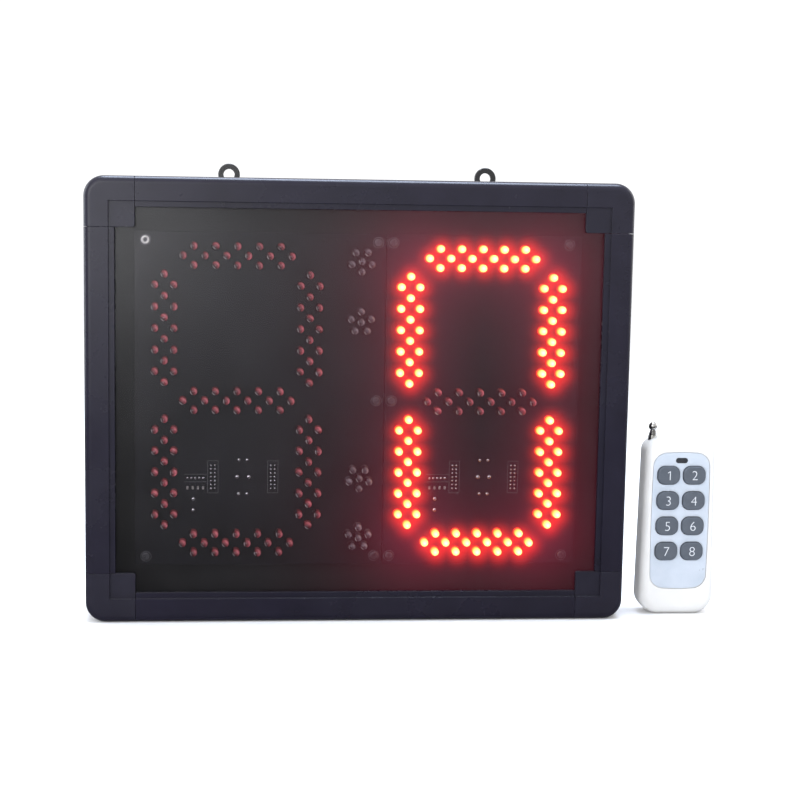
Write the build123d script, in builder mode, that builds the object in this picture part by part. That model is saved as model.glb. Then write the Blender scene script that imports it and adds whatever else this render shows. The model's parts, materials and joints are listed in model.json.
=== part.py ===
"""Gym round timer: a two-digit LED display in a slim black case, with its radio remote.

Millimetres, +Z up. The display stands on its bottom edge with its front facing -Y and the
origin in the middle of its underside. The remote stands on its flat end to the right.
"""

import math
import os

from build123d import *

os.makedirs("parts", exist_ok=True)

# Case
case_w = 352.0
case_h = 286.0
case_d = 46.0
corner_r = 13.0
edge_r = 4.5
wall = 1.8
rim = 15.6  # raised outer face of each bar
lip = 19.3  # lower ledge next to the panel ends here
cover = 32.0  # side of each corner cover
front = -case_d / 2
rear = case_d / 2
ledge = front + 1.6
panel_front = front + 4.5
panel_t = 3.0
panel_back = panel_front + panel_t
rail = 15.0
rib = 9.8
plate_t = 1.5
plate_front = rear - 2.0
plate_rear = plate_front + plate_t
rib_front = plate_front - 1.6
mid_z = case_h / 2

# Display
pitch = 13.9  # between neighbouring LEDs in a segment
row_off = 6.1  # outer LED rows from the segment's middle row
digit_x = 79.4
seg_x = 46.75
seg_z = 93.4
led_r = 2.5
led_flange_r = 2.9
led_tip = panel_back + 1.0
led_h = 8.6
board_front = led_tip + led_h
board_t = 1.6
board_back = board_front + board_t
board_hw = 145.0
board_hh = 108.5
board_seam = 17.4
colon_r = 6.8
colon_spots = ((90.8, -90), (51.4, 90), (-50.6, -90), (-90.0, 90))

# Fixings
screw_r = 1.5
board_fix_dz = 103.0
left_fix = [(-138.0, mid_z - board_fix_dz), (-138.0, mid_z + board_fix_dz)]
left_fix += [(11.5, mid_z - board_fix_dz), (11.5, mid_z), (11.5, mid_z + board_fix_dz)]
right_fix = [(137.0, mid_z - board_fix_dz), (137.0, mid_z + board_fix_dz)]
right_fix += [(21.5, mid_z - board_fix_dz), (21.5, mid_z), (21.5, mid_z + board_fix_dz)]
board_fix = left_fix + right_fix
seam_gap = 0.2  # shadow gap between each bar's end and its corner cover
hanger_x = 85.0
hanger_pivot_z = case_h - 14.0
eye_r = 7.15
eye_hole_r = 3.6
eye_z = case_h + 2.85
eye_front = rear + 0.3
eye_t = 2.0

# Remote, local z from its flat end
rem_x = 216.0
rem_h = 120.0
rem_d = 22.0
rem_hw_low = 25.5
rem_hw_top = 23.5
rem_wall = 1.8
plate_cz = 63.9
plate_hw = 19.3
plate_hh = 46.0
side_bow = 0.6
end_bow = 1.5
button_w = 15.0
button_hh = 12.2
button_gap = 0.3
button_rows = (94.6, 77.5, 60.4, 43.3)
button_cols = (-8.7, 8.7)
window_z = 104.5
rem_front = -rem_d / 2
face_t = 0.6
recess = 1.0
aerial_x = -17.5
aerial_top = 120.6
board_y = -3.6  # front of the remote's circuit board


def depth_plane(y):
    """Plane facing the viewer's way (normal -Y) at a depth, with x right and z up."""
    return Plane(origin=(0, y, 0), x_dir=(1, 0, 0), z_dir=(0, -1, 0))


def nearest(sketch, a, b):
    """The sketch corner closest to a point, both in the sketch's own directions."""
    return sketch.vertices().sort_by_distance((a, b, 0))[0]


def digit_spots(parts_on):
    """LED places of one digit, as offsets from its centre, for the segments named."""
    spots = []
    for name in parts_on:
        flat = name in ("top", "middle", "bottom")
        cx = {"ul": -seg_x, "ll": -seg_x, "ur": seg_x, "lr": seg_x}.get(name, 0)
        cz = {"top": seg_z, "bottom": -seg_z, "middle": 0}.get(name, seg_z / 2)
        if name in ("ll", "lr"):
            cz = -seg_z / 2
        for i in range(6):
            along = (i - 2.5) * pitch
            spots.append((cx + along, cz) if flat else (cx, cz + along))
        for i in range(5):
            along = (i - 2) * pitch
            for side in (-row_off, row_off):
                spots.append((cx + along, cz + side) if flat else (cx + side, cz + along))
    return spots


def colon_led_spots():
    """LED places of the four five-pointed clusters between the digits."""
    spots = []
    for z, point in colon_spots:
        spots.append((0.4, z))
        for i in range(5):
            a = math.radians(point + 72 * i)
            spots.append((0.4 + colon_r * math.cos(a), z + colon_r * math.sin(a)))
    return spots


all_segments = ("top", "middle", "bottom", "ul", "ur", "ll", "lr")
lit_segments = ("top", "bottom", "ul", "ur", "ll", "lr")

# ---------------------------------------------------------------- frame bars


def bar_section(sign, base, swap):
    """Draws one bar's section: inward distance from the outer face against depth."""
    pts = [
        (0, rear),
        (0, front),
        (rim, front),
        (rim, ledge),
        (lip, ledge),
        (lip, panel_front),
        (lip - wall, panel_front),
        (lip - wall, ledge + wall),
        (rim - wall, ledge + wall),
        (rim - wall, front + wall),
        (wall, front + wall),
        (wall, panel_back),
        (rail, panel_back),
        (rail, panel_back + wall),
        (wall, panel_back + wall),
        (wall, rib_front),
        (rib, rib_front),
        (rib, plate_front),
        (wall, plate_front),
        (wall, rear),
    ]
    if swap:
        return [(y, base + sign * u) for u, y in pts]
    return [(base + sign * u, y) for u, y in pts]


side_len = case_h - 2 * cover - 2 * seam_gap
top_len = case_w - 2 * cover - 2 * seam_gap

with BuildPart() as frame_left:
    with BuildSketch(Plane.XY.offset(cover + seam_gap)) as sk:
        with BuildLine():
            Polyline(*bar_section(1, -case_w / 2, False), close=True)
        make_face()
        fillet(nearest(sk, -case_w / 2, front), edge_r)
    extrude(amount=side_len)
    with BuildSketch(depth_plane(plate_front + 1)):
        with Locations((-case_w / 2 + 6, mid_z)):
            Circle(screw_r)
    extrude(amount=4, mode=Mode.SUBTRACT)

with BuildPart() as frame_right:
    with BuildSketch(Plane.XY.offset(cover + seam_gap)) as sk:
        with BuildLine():
            Polyline(*bar_section(-1, case_w / 2, False), close=True)
        make_face()
        fillet(nearest(sk, case_w / 2, front), edge_r)
    extrude(amount=side_len)
    with BuildSketch(depth_plane(plate_front + 1)):
        with Locations((case_w / 2 - 6, mid_z)):
            Circle(screw_r)
    extrude(amount=4, mode=Mode.SUBTRACT)

with BuildPart() as frame_top:
    with BuildSketch(Plane.YZ.offset(-top_len / 2)) as sk:
        with BuildLine():
            Polyline(*bar_section(-1, case_h, True), close=True)
        make_face()
        fillet(nearest(sk, front, case_h), edge_r)
    extrude(amount=top_len)
    with BuildSketch(depth_plane(plate_front + 1)):
        with Locations((0, case_h - 6)):
            Circle(screw_r)
    extrude(amount=4, mode=Mode.SUBTRACT)

with BuildPart() as frame_bottom:
    with BuildSketch(Plane.YZ.offset(-top_len / 2)) as sk:
        with BuildLine():
            Polyline(*bar_section(1, 0, True), close=True)
        make_face()
        fillet(nearest(sk, front, 0), edge_r)
    extrude(amount=top_len)
    with BuildSketch(depth_plane(plate_front + 1)):
        with Locations((-90, 6), (0, 6), (90, 6)):
            Circle(screw_r)
    extrude(amount=4, mode=Mode.SUBTRACT)

# ------------------------------------------------------------- corner covers


def corner_cover(sx, top):
    """One moulded cover: raised outer L, lower inner square, open behind the panel."""
    ox = sx * case_w / 2
    oz = case_h if top else 0.0
    dx = -sx
    dz = -1 if top else 1
    with BuildPart() as c:
        with BuildSketch(depth_plane(rear)) as sk:
            with BuildLine():
                Polyline(
                    (ox, oz),
                    (ox + dx * cover, oz),
                    (ox + dx * cover, oz + dz * cover),
                    (ox, oz + dz * cover),
                    close=True,
                )
            make_face()
            fillet(nearest(sk, ox, oz), corner_r)
        extrude(amount=case_d)
        rims = c.edges().filter_by(lambda e: abs(e.center().Y - front) < 1e-6)
        outer = [
            e
            for e in rims
            if min(abs(e.center().X - ox), abs(e.center().Z - oz)) < 1e-6
            or e.geom_type == GeomType.CIRCLE
        ]
        fillet(outer, edge_r)
        # the inner square sits lower than the outer L
        with BuildSketch(depth_plane(ledge)):
            with Locations((ox + dx * (rim + cover) / 2, oz + dz * (rim + cover) / 2)):
                Rectangle(cover - rim, cover - rim)
        extrude(amount=10, mode=Mode.SUBTRACT)
        # room behind the front plate
        with BuildSketch(depth_plane(rear)) as sk:
            with BuildLine():
                Polyline(
                    (ox + dx * wall, oz + dz * wall),
                    (ox + dx * (cover + 1), oz + dz * wall),
                    (ox + dx * (cover + 1), oz + dz * (cover + 1)),
                    (ox + dx * wall, oz + dz * (cover + 1)),
                    close=True,
                )
            make_face()
            fillet(nearest(sk, ox + dx * wall, oz + dz * wall), corner_r - wall)
        extrude(amount=rear - panel_front, mode=Mode.SUBTRACT)
        # the raised L is cored out from behind
        inner = rim - wall
        with BuildSketch(depth_plane(panel_front)) as sk:
            with BuildLine():
                Polyline(
                    (ox + dx * 5, oz + dz * 5),
                    (ox + dx * (cover - wall), oz + dz * 5),
                    (ox + dx * (cover - wall), oz + dz * inner),
                    (ox + dx * inner, oz + dz * inner),
                    (ox + dx * inner, oz + dz * (cover - wall)),
                    (ox + dx * 5, oz + dz * (cover - wall)),
                    close=True,
                )
            make_face()
            fillet(nearest(sk, ox + dx * 5, oz + dz * 5), 8)
        extrude(amount=2.4, mode=Mode.SUBTRACT)
        # small relief on the visible corner of the inner square
        ix = ox + dx * cover
        iz = oz + dz * cover
        upright = c.edges().filter_by(Axis.Y).sort_by_distance((ix, ledge, iz))[0]
        chamfer(upright, 1.0)
    return c.part


def corner_key(sx, top):
    """L-shaped key whose legs run into the two bars, with a screw boss for the back."""
    ox = sx * case_w / 2
    oz = case_h if top else 0.0
    dx = -sx
    dz = -1 if top else 1
    out = wall
    inn = 9.4
    leg = cover + 24
    with BuildPart() as k:
        with BuildSketch(depth_plane(rib_front)) as sk:
            with BuildLine():
                Polyline(
                    (ox + dx * out, oz + dz * out),
                    (ox + dx * leg, oz + dz * out),
                    (ox + dx * leg, oz + dz * inn),
                    (ox + dx * inn, oz + dz * inn),
                    (ox + dx * inn, oz + dz * leg),
                    (ox + dx * out, oz + dz * leg),
                    close=True,
                )
            make_face()
            fillet(nearest(sk, ox + dx * out, oz + dz * out), corner_r - wall)
        extrude(amount=rib_front - panel_back - wall)
        with BuildSketch(depth_plane(plate_front)):
            with Locations((ox + dx * 12, oz + dz * 12)):
                Circle(4.6)
        extrude(amount=plate_front - panel_back - wall)
        with BuildSketch(depth_plane(plate_front)):
            with Locations((ox + dx * 12, oz + dz * 12)):
                Circle(screw_r)
        extrude(amount=12, mode=Mode.SUBTRACT)
    return k.part


# PRIVATE: the four covers and the four keys are the same shape turned round the case
cover_top_left = corner_cover(-1, True)
cover_top_right = corner_cover(1, True)
cover_bottom_left = corner_cover(-1, False)
cover_bottom_right = corner_cover(1, False)
keys = [corner_key(-1, True), corner_key(1, True), corner_key(-1, False), corner_key(1, False)]
corner_keys = Compound(children=keys)

# ----------------------------------------------------- panel, boards and LEDs

with BuildPart() as front_panel:
    with BuildSketch(depth_plane(panel_back)):
        with Locations((0, mid_z)):
            RectangleRounded(case_w - 8, case_h - 8, 12)
    extrude(amount=panel_t)

ctrl_x = 78.0
ctrl_z = mid_z + 38
ctrl_w = 84.0
ctrl_h = 52.0
ctrl_back = plate_front - 6.0
ctrl_front = ctrl_back - 1.6
ctrl_fix = [(ctrl_x + sx * 37, ctrl_z + sz * 21) for sx in (-1, 1) for sz in (-1, 1)]

header_dx = 19.5
cap_dx = 4.2
cap_z = (11.2, 0.0, -11.2)
logic_z = mid_z - 50.4


lead_pads = [(x, mid_z + 104.0) for x in (-31.0, -23.7, -16.3, -9.0)]


def board(x0, x1, fixings, pads):
    """One display board with its fixing holes and its row of empty lead holes."""
    with BuildPart() as b:
        with BuildSketch(depth_plane(board_back)):
            with Locations(((x0 + x1) / 2, mid_z)):
                Rectangle(x1 - x0, 2 * board_hh)
            with Locations(*fixings):
                Circle(screw_r + 0.1, mode=Mode.SUBTRACT)
            if pads:
                with Locations(*pads):
                    Circle(0.8, mode=Mode.SUBTRACT)
        extrude(amount=board_t)
    return b.part


# PRIVATE: both boards share one recipe
led_board_left = board(-board_hw, board_seam - 0.9, left_fix, lead_pads)
led_board_right = board(board_seam - 0.3, board_hw, right_fix, [])


def led_group(spots, x0):
    """5 mm LEDs, domes towards the panel, as one group of separate solids."""
    with BuildPart() as one:
        with BuildSketch(Plane.XZ) as sk:
            with BuildLine():
                Line((0, 0), (led_flange_r, 0))
                Line((led_flange_r, 0), (led_flange_r, 1.0))
                Line((led_flange_r, 1.0), (led_r, 1.0))
                Line((led_r, 1.0), (led_r, led_h - led_r))
                ThreePointArc(
                    (led_r, led_h - led_r),
                    (led_r * math.sin(math.pi / 4), led_h - led_r + led_r * math.cos(math.pi / 4)),
                    (0, led_h),
                )
                Line((0, led_h), (0, 0))
            make_face()
        revolve(axis=Axis.Z)
    led = one.part.rotate(Axis.X, 90)
    placed = [Pos(x0 + x, board_front, mid_z + z) * led for x, z in spots]
    return Compound(children=placed)


# PRIVATE: LEDs placed as copies
tens_digit_leds = led_group(digit_spots(all_segments), -digit_x)
units_digit_leds = led_group(digit_spots(lit_segments), digit_x)
units_middle_segment_leds = led_group(digit_spots(("middle",)), digit_x)
colon_leds = led_group(colon_led_spots(), 0)

with BuildPart() as ribbon_headers:
    for cx in (-digit_x, digit_x):
        with BuildSketch(depth_plane(board_back + 8.5)):
            with Locations((cx + 4.3 - header_dx, logic_z), (cx + 4.3 + header_dx, logic_z)):
                Rectangle(9, 24)
        extrude(amount=8.5)
        with BuildSketch(depth_plane(board_back + 8.5)):
            with Locations((cx + 4.3 - header_dx, logic_z), (cx + 4.3 + header_dx, logic_z)):
                Rectangle(6, 20)
        extrude(amount=6, mode=Mode.SUBTRACT)
    with BuildSketch(depth_plane(ctrl_front)):
        with Locations((ctrl_x, ctrl_z - 20)):
            Rectangle(30, 9)
    extrude(amount=4.7)
    with BuildSketch(depth_plane(ctrl_front - 1)):
        with Locations((ctrl_x, ctrl_z - 20)):
            Rectangle(27, 6)
    extrude(amount=6, mode=Mode.SUBTRACT)

with BuildPart() as driver_chips:
    for cx in (-digit_x, digit_x):
        for z in (mid_z + 62, mid_z + 22, mid_z - 22):
            with BuildSketch(depth_plane(board_back + 1.9)):
                with Locations((cx + 4.3, z)):
                    Rectangle(10, 4)
            extrude(amount=1.6)
            for i in range(8):
                with BuildSketch(depth_plane(board_back + 0.6)):
                    with Locations((cx + 4.3 - 4.45 + 1.27 * i, z)):
                        Rectangle(0.45, 6)
                extrude(amount=0.6)

with BuildPart() as board_capacitors:
    for cx in (-digit_x, digit_x):
        for dz in cap_z:
            with BuildSketch(depth_plane(board_back + 11)):
                with Locations((cx + 4.3, logic_z + dz)):
                    Circle(4.0)
            extrude(amount=11)
            rim_edges = board_capacitors.edges().filter_by(GeomType.CIRCLE)
    tops = [e for e in rim_edges if abs(e.center().Y - board_back - 11) < 1e-6]
    fillet(tops, 0.6)

with BuildPart() as board_standoffs:
    with BuildSketch(depth_plane(plate_front)):
        with Locations(*board_fix):
            RegularPolygon(3.1, 6)
            Circle(screw_r, mode=Mode.SUBTRACT)
    extrude(amount=plate_front - board_back)
    with BuildSketch(depth_plane(plate_front)):
        with Locations(*ctrl_fix):
            RegularPolygon(3.1, 6)
    extrude(amount=plate_front - ctrl_back)
    with BuildSketch(depth_plane(ctrl_back + 4)):
        with Locations(*ctrl_fix):
            Circle(screw_r)
    extrude(amount=4, mode=Mode.SUBTRACT)

with BuildPart() as board_screws:
    with BuildSketch(depth_plane(board_front)):
        with Locations(*board_fix):
            Circle(2.9)
    extrude(amount=1.8)
    heads = [
        e
        for e in board_screws.edges().filter_by(GeomType.CIRCLE)
        if abs(e.center().Y - board_front + 1.8) < 1e-6
    ]
    fillet(heads, 0.8)
    with BuildSketch(depth_plane(board_front + 7)):
        with Locations(*board_fix):
            Circle(screw_r)
    extrude(amount=7)
    with BuildSketch(depth_plane(board_front - 0.9)):
        with Locations(*board_fix):
            Rectangle(3.4, 0.7)
            Rectangle(0.7, 3.4)
    extrude(amount=1.5, mode=Mode.SUBTRACT)
    with BuildSketch(depth_plane(ctrl_front)):
        with Locations(*ctrl_fix):
            Circle(2.7)
    extrude(amount=1.6)
    with BuildSketch(depth_plane(ctrl_back + 3.4)):
        with Locations(*ctrl_fix):
            Circle(screw_r)
    extrude(amount=ctrl_back + 3.4 - ctrl_front)

# -------------------------------------------------------------------- back

corner_fix = [
    (sx * (case_w / 2 - 12), z) for sx in (-1, 1) for z in (12, case_h - 12)
]
edge_fix = [
    (-case_w / 2 + 6, mid_z),
    (case_w / 2 - 6, mid_z),
    (0, case_h - 6),
    (-90, 6),
    (0, 6),
    (90, 6),
]
jack_x = -110.0
jack_z = 40.0
buzzer_x = -60.0
buzzer_z = mid_z + 35

with BuildPart() as back_plate:
    with BuildSketch(depth_plane(plate_rear)):
        with Locations((0, mid_z)):
            RectangleRounded(case_w - 4.4, case_h - 4.4, 11)
        with Locations(*corner_fix, *edge_fix):
            Circle(screw_r + 0.15, mode=Mode.SUBTRACT)
        with Locations(*board_fix):
            Circle(screw_r + 0.1, mode=Mode.SUBTRACT)
        with Locations((-hanger_x, hanger_pivot_z), (hanger_x, hanger_pivot_z)):
            Circle(2.1, mode=Mode.SUBTRACT)
        with Locations((jack_x, jack_z)):
            Circle(5.6, mode=Mode.SUBTRACT)
        with Locations((buzzer_x, buzzer_z)):
            Circle(1.1, mode=Mode.SUBTRACT)
        with Locations((buzzer_x, buzzer_z)):
            with PolarLocations(4.2, 6):
                Circle(1.1, mode=Mode.SUBTRACT)
        for i in range(9):
            for sx in (-1, 1):
                with Locations((sx * 95, mid_z - 64 + 8 * i)):
                    SlotOverall(34, 2.6, mode=Mode.SUBTRACT)
    extrude(amount=plate_t)


def pan_screws(spots, head_r, shank_len):
    """Pan-head screws driven into the back, heads standing on the plate."""
    with BuildPart() as s:
        with BuildSketch(depth_plane(plate_rear + 1.6)):
            with Locations(*spots):
                Circle(head_r)
        extrude(amount=1.6)
        tops = [
            e
            for e in s.edges().filter_by(GeomType.CIRCLE)
            if abs(e.center().Y - plate_rear - 1.6) < 1e-6
        ]
        fillet(tops, 0.7)
        with BuildSketch(depth_plane(plate_rear)):
            with Locations(*spots):
                Circle(screw_r)
        extrude(amount=shank_len)
        with BuildSketch(depth_plane(plate_rear + 1.6)):
            with Locations(*spots):
                Rectangle(3.2, 0.7)
                Rectangle(0.7, 3.2)
        extrude(amount=0.9, mode=Mode.SUBTRACT)
    return s.part


# PRIVATE: long ones into the corner keys, short ones into the bars and the standoffs
long_screws = pan_screws(corner_fix, 2.9, 12)
short_screws = pan_screws(edge_fix, 2.6, 6)
standoff_screws = pan_screws(board_fix, 2.6, 8)
back_plate_screws = Compound(children=[*long_screws.solids(), *short_screws.solids()])


def hanger(x):
    """Flat hanging eye that turns on its screw."""
    with BuildPart() as h:
        with BuildSketch(depth_plane(eye_front + eye_t)):
            with Locations((x, eye_z)):
                Circle(eye_r)
            with Locations((x, hanger_pivot_z)):
                Circle(6.0)
            with Locations((x, (eye_z + hanger_pivot_z) / 2)):
                Rectangle(8.5, eye_z - hanger_pivot_z)
            with Locations((x, eye_z)):
                Circle(eye_hole_r, mode=Mode.SUBTRACT)
            with Locations((x, hanger_pivot_z)):
                Circle(2.06, mode=Mode.SUBTRACT)
        extrude(amount=eye_t)
        fillet(h.edges().filter_by(lambda e: e.geom_type == GeomType.CIRCLE and e.radius > 6.5), 0.5)
    return h.part


# PRIVATE: two of the same eye
hanger_left = hanger(-hanger_x)
hanger_right = hanger(hanger_x)

with BuildPart() as hanger_screws:
    spots = [(-hanger_x, hanger_pivot_z), (hanger_x, hanger_pivot_z)]
    with BuildSketch(depth_plane(eye_front - 0.1)):
        with Locations(*spots):
            Circle(4.4)
    extrude(amount=eye_front - 0.1 - plate_rear)
    with BuildSketch(depth_plane(eye_front + eye_t + 0.1)):
        with Locations(*spots):
            Circle(2.0)
    extrude(amount=eye_front + eye_t + 0.1 - plate_front + 3.2)
    with BuildSketch(depth_plane(eye_front + eye_t + 1.9)):
        with Locations(*spots):
            Circle(4.3)
    extrude(amount=1.8)
    tops = [
        e
        for e in hanger_screws.edges().filter_by(GeomType.CIRCLE)
        if abs(e.center().Y - eye_front - eye_t - 1.9) < 1e-6
    ]
    fillet(tops, 0.8)
    with BuildSketch(depth_plane(eye_front + eye_t + 1.9)):
        with Locations(*spots):
            Rectangle(4.6, 0.9)
            Rectangle(0.9, 4.6)
    extrude(amount=1.0, mode=Mode.SUBTRACT)
    with BuildSketch(depth_plane(plate_front)):
        with Locations(*spots):
            RegularPolygon(3.6, 6)
    extrude(amount=2.4)

# ------------------------------------------------------------- electronics


with BuildPart() as controller_board:
    with BuildSketch(depth_plane(ctrl_back)):
        with Locations((ctrl_x, ctrl_z)):
            RectangleRounded(ctrl_w, ctrl_h, 2)
        with Locations(*ctrl_fix):
            Circle(screw_r + 0.1, mode=Mode.SUBTRACT)
    extrude(amount=1.6)

with BuildPart() as microcontroller:
    with BuildSketch(depth_plane(ctrl_front - 0.2)):
        with Locations((ctrl_x, ctrl_z)):
            RectangleRounded(10, 10, 0.6)
    extrude(amount=1.4)
    for i in range(8):
        with BuildSketch(depth_plane(ctrl_front)):
            with Locations((ctrl_x - 3.5 + i, ctrl_z)):
                Rectangle(0.4, 12.4)
            with Locations((ctrl_x, ctrl_z - 3.5 + i)):
                Rectangle(12.4, 0.4)
        extrude(amount=0.5)

with BuildPart() as voltage_regulator:
    with BuildSketch(depth_plane(ctrl_front)):
        with Locations((ctrl_x - 28, ctrl_z + 6)):
            Rectangle(10, 9)
    extrude(amount=4.4)
    with BuildSketch(depth_plane(ctrl_front)):
        with Locations((ctrl_x - 28, ctrl_z + 13.5)):
            Rectangle(10, 6)
    extrude(amount=1.3)
    with BuildSketch(depth_plane(ctrl_front)):
        with Locations((ctrl_x - 30.5, ctrl_z), (ctrl_x - 28, ctrl_z), (ctrl_x - 25.5, ctrl_z)):
            Rectangle(0.9, 4)
    extrude(amount=0.9)

rf_x = ctrl_x + 28
rf_z = ctrl_z + 4
with BuildPart() as rf_receiver_module:
    with BuildSketch(depth_plane(ctrl_front - 3)):
        with Locations((rf_x, rf_z)):
            Rectangle(14, 30)
    extrude(amount=1.2)
    with BuildSketch(depth_plane(ctrl_front)):
        for i in range(4):
            with Locations((rf_x - 3.81 + 2.54 * i, rf_z - 13)):
                Rectangle(0.64, 0.64)
    extrude(amount=3)
    with BuildSketch(depth_plane(ctrl_front - 4.2)):
        with Locations((rf_x, rf_z + 2)):
            Rectangle(7, 5)
        with Locations((rf_x, rf_z - 6)):
            Circle(2.4)
    extrude(amount=1.6)

coil_r = 2.3
coil_x = rf_x
coil_z = rf_z + 15.5
coil_y = ctrl_front - 3.6
with BuildPart() as receiver_antenna:
    with BuildLine() as coil_line:
        Helix(pitch=1.5, height=15, radius=coil_r, center=(coil_x, coil_y, coil_z))
    with BuildSketch(Plane(coil_line.line @ 0, z_dir=coil_line.line % 0)):
        Circle(0.4)
    sweep(is_frenet=True)

with BuildPart() as buzzer:
    with BuildSketch(depth_plane(plate_front)):
        with Locations((buzzer_x, buzzer_z)):
            Circle(8.0)
            Circle(1.4, mode=Mode.SUBTRACT)
    extrude(amount=9)
    with BuildSketch(depth_plane(plate_front - 9)):
        with Locations((buzzer_x, buzzer_z)):
            Circle(5)
    extrude(amount=1)

with BuildPart() as power_jack:
    with BuildSketch(depth_plane(plate_rear + 1.6)):
        with Locations((jack_x, jack_z)):
            Circle(7.2)
    extrude(amount=1.6)
    with BuildSketch(depth_plane(plate_rear)):
        with Locations((jack_x, jack_z)):
            Circle(5.5)
    extrude(amount=11)
    with BuildSketch(depth_plane(plate_rear + 1.6)):
        with Locations((jack_x, jack_z)):
            Circle(3.2)
            Circle(1.0, mode=Mode.SUBTRACT)
    extrude(amount=9.5, mode=Mode.SUBTRACT)

with BuildPart() as jack_nut:
    with BuildSketch(depth_plane(plate_front)):
        with Locations((jack_x, jack_z)):
            RegularPolygon(8.0, 6)
            Circle(5.5, mode=Mode.SUBTRACT)
    extrude(amount=2.2)

lead_y = plate_rear - 11.9
with BuildPart() as power_leads:
    for dz in (-2.0, 2.0):
        with BuildLine() as lead:
            Polyline(
                (jack_x, lead_y, jack_z + dz),
                (jack_x + 20, lead_y, jack_z + dz),
                (jack_x + 40 - dz, lead_y, jack_z + 30 + dz),
                (ctrl_x - 60 - dz, lead_y, ctrl_z + 20 + dz),
                (ctrl_x - 22.4, lead_y, ctrl_z + 20 + dz),
            )
        with BuildSketch(Plane(lead.line @ 0, z_dir=lead.line % 0)):
            Circle(0.9)
        sweep(transition=Transition.ROUND)
    with BuildSketch(depth_plane(ctrl_front)):
        with Locations((ctrl_x - 18, ctrl_z + 20)):
            Rectangle(9, 8)
    extrude(amount=8)

ribbon_y = board_back + 12.9
with BuildPart() as ribbon_cable:
    with BuildSketch(depth_plane(ribbon_y)):
        with Locations(((-digit_x + 4.3 - header_dx + digit_x + 4.3 + header_dx) / 2, logic_z)):
            Rectangle(2 * (digit_x + header_dx) - 10, 15)
    extrude(amount=0.9)
    with BuildSketch(depth_plane(ribbon_y)):
        with Locations((ctrl_x, (logic_z + 7 + ctrl_z - 20) / 2)):
            Rectangle(15, ctrl_z - 20 - logic_z - 7)
    extrude(amount=0.9)
    with BuildSketch(depth_plane(ribbon_y)):
        with Locations(
            (-digit_x + 4.3 - header_dx, logic_z),
            (-digit_x + 4.3 + header_dx, logic_z),
            (digit_x + 4.3 - header_dx, logic_z),
            (digit_x + 4.3 + header_dx, logic_z),
        ):
            Rectangle(5.6, 19)
    extrude(amount=10.3)
    with BuildSketch(depth_plane(ctrl_front - 1.2)):
        with Locations((ctrl_x, ctrl_z - 20)):
            Rectangle(24, 5.4)
    extrude(amount=ctrl_front - 1.2 - ribbon_y)

# ------------------------------------------------------------------ remote


def remote_outline(inset, low_corner, top_corner):
    """Outline of the remote, wider at its flat end, with a crowned top."""
    low = rem_hw_low - inset
    top = rem_hw_top - inset
    z0 = inset
    z1 = rem_h - 2.6 - inset
    with BuildSketch() as outline:
        with BuildLine():
            Line((rem_x - low, z0), (rem_x + low, z0))
            Line((rem_x + low, z0), (rem_x + top, z1))
            ThreePointArc((rem_x + top, z1), (rem_x, z1 + 2.6), (rem_x - top, z1))
            Line((rem_x - top, z1), (rem_x - low, z0))
        make_face()
        fillet([v for v in outline.vertices() if v.Y < rem_h / 2], low_corner)
        fillet([v for v in outline.vertices() if v.Y > rem_h - 6 and abs(v.X - rem_x) > top - 1], top_corner)
    return outline.sketch


def plate_outline(grow, corner):
    """Barrel-shaped outline of the faceplate: its sides and ends bow outwards."""
    w = plate_hw - side_bow + grow
    h = plate_hh - end_bow + grow
    low_left = (rem_x - w, plate_cz - h)
    low_right = (rem_x + w, plate_cz - h)
    top_left = (rem_x - w, plate_cz + h)
    top_right = (rem_x + w, plate_cz + h)
    with BuildSketch() as outline:
        with BuildLine():
            ThreePointArc(low_left, (rem_x, plate_cz - h - end_bow), low_right)
            ThreePointArc(low_right, (rem_x + w + side_bow, plate_cz), top_right)
            ThreePointArc(top_right, (rem_x, plate_cz + h + end_bow), top_left)
            ThreePointArc(top_left, (rem_x - w - side_bow, plate_cz), low_left)
        make_face()
        fillet(outline.vertices(), corner)
    return outline.sketch


shell_outer = remote_outline(0, 13, 9)
shell_inner = remote_outline(rem_wall, 11.2, 7.2)
plate_recess = plate_outline(0.4, 9.4)
plate_shape = plate_outline(0, 9.0)
button_spots = [(rem_x + x, z) for z in button_rows for x in button_cols]
rem_boss = [(rem_x + 19.0, 9.5), (rem_x - 19.0, 9.5), (rem_x + 17.0, 111.8)]

with BuildPart() as remote_front_shell:
    with BuildSketch(depth_plane(0)):
        add(shell_outer)
    extrude(amount=rem_d / 2)
    rims = remote_front_shell.edges().filter_by(lambda e: abs(e.center().Y - rem_front) < 1e-6)
    fillet(rims, 6.0)
    with BuildSketch(depth_plane(0)):
        add(shell_inner)
    extrude(amount=rem_d / 2 - 2.4, mode=Mode.SUBTRACT)
    with BuildSketch(depth_plane(rem_front + recess)):
        add(plate_recess)
    extrude(amount=2, mode=Mode.SUBTRACT)
    with BuildSketch(depth_plane(0)):
        with Locations(*button_spots):
            RectangleRounded(button_w + 2 * button_gap, button_hh + 2 * button_gap, 5.2)
        with Locations((rem_x, window_z)):
            SlotOverall(8.1, 3.6)
    extrude(amount=rem_d, mode=Mode.SUBTRACT)
    with BuildSketch(depth_plane(0)):
        with Locations(*rem_boss):
            Circle(2.6)
            Circle(1.0, mode=Mode.SUBTRACT)
    extrude(amount=rem_d / 2 - 2.4)
    with BuildSketch(depth_plane(board_y)):
        with Locations(*[(rem_x + x, z) for x in (-10.5, 16.5) for z in (18.0, 104.4)]):
            Circle(1.6)
    extrude(amount=rem_d / 2 - 2.4 + board_y)
    with BuildSketch(Plane.XY.offset(rem_h - 8)):
        with Locations((rem_x + aerial_x, 0)):
            Circle(3.1)
    extrude(amount=14, mode=Mode.SUBTRACT)

bat_z = 30.0
bat_hx = 16.0
bat_y = 4.6
bat_cover_hh = 13.0

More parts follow.
